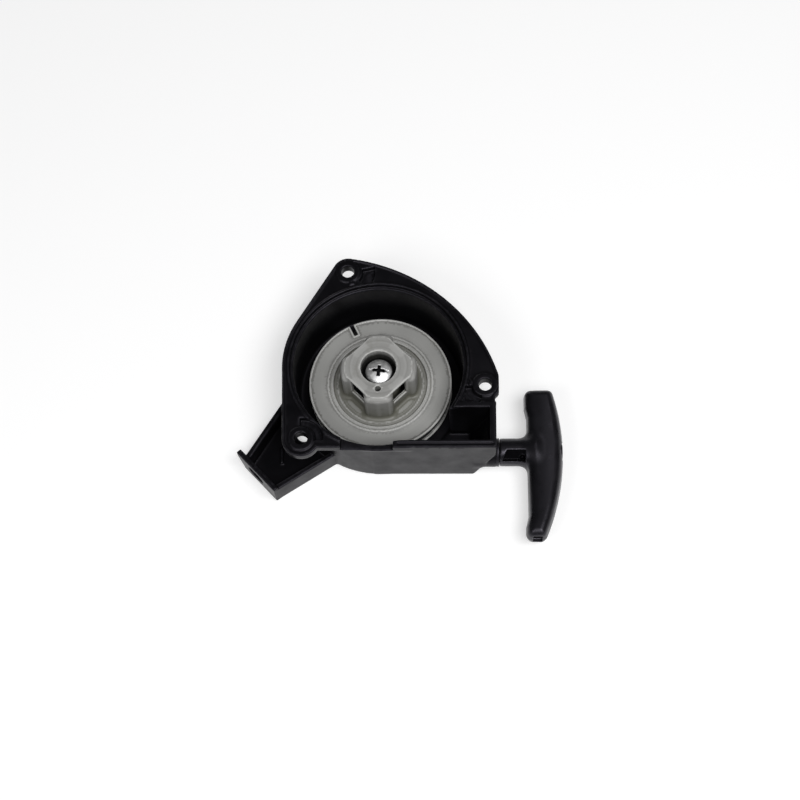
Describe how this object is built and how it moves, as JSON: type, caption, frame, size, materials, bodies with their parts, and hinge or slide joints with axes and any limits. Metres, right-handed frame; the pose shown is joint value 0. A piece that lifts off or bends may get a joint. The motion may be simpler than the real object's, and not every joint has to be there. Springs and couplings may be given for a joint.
{
  "type": "recoil starter",
  "caption": "Pull-cord starter for a small engine: open moulded casing with three bolt bosses and a slotted arm, spring-returned rope reel with a pawl hub, and a T-shaped handle.",
  "frame": {"origin": "on the reel's axis, in the plane of the casing's flat outer face, which the starter rests on", "axes": "+Z is the reel's axis, from the outer face towards the engine; +X is the direction the rope is pulled in, along the handle's stem; -Y is the side with the long flat wall"},
  "size_m": [0.1408, 0.124, 0.0315],
  "materials": {
    "casing": "black moulded plastic, fine satin grain",
    "handle": "black moulded plastic, satin gloss",
    "reel": "natural grey-white nylon, satin",
    "guide": "black moulded nylon",
    "spring_steel": "oiled spring steel",
    "zinc": "bright zinc plate",
    "rope": "black braided nylon rope"
  },
  "bodies": {
    "casing": {"housing": "casing", "rope_guide": "guide", "spring_case": "spring_steel", "post_sleeve": "spring_steel", "screw_washer": "zinc", "centre_screw": "zinc", "recoil_spring": "spring_steel"},
    "reel": {"reel": "reel", "rope_wound": "rope", "reel_knot": "rope"},
    "rope_end": {"rope_run": "rope", "knot_washer": "zinc", "handle_knot": "rope"},
    "handle": {"handle_grip": "handle", "handle_cap": "handle"}
  },
  "joints": [
    {"name": "handle_pull", "type": "slide", "parent": "casing", "child": "rope_end", "axis": [1, 0, 0], "range_m": [0, 0.7], "stiffness_N_per_m": 15, "springref_m": -0.33, "deforming": ["rope_run"]},
    {"name": "reel_spin", "type": "hinge", "parent": "casing", "child": "reel", "pos_m": [0, 0, 0.015], "axis": [0, 0, 1], "range_deg": [0, 1550], "deforming": ["recoil_spring"]},
    {"name": "handle_swivel", "type": "hinge", "parent": "rope_end", "child": "handle", "pos_m": [0.0717, -0.0326, 0.01], "axis": [1, 0, 0], "range_deg": [-180, 180]}
  ],
  "couplings": [
    {"joint": "reel_spin", "follows": "handle_pull", "rad_per_m": 38.61}
  ]
}
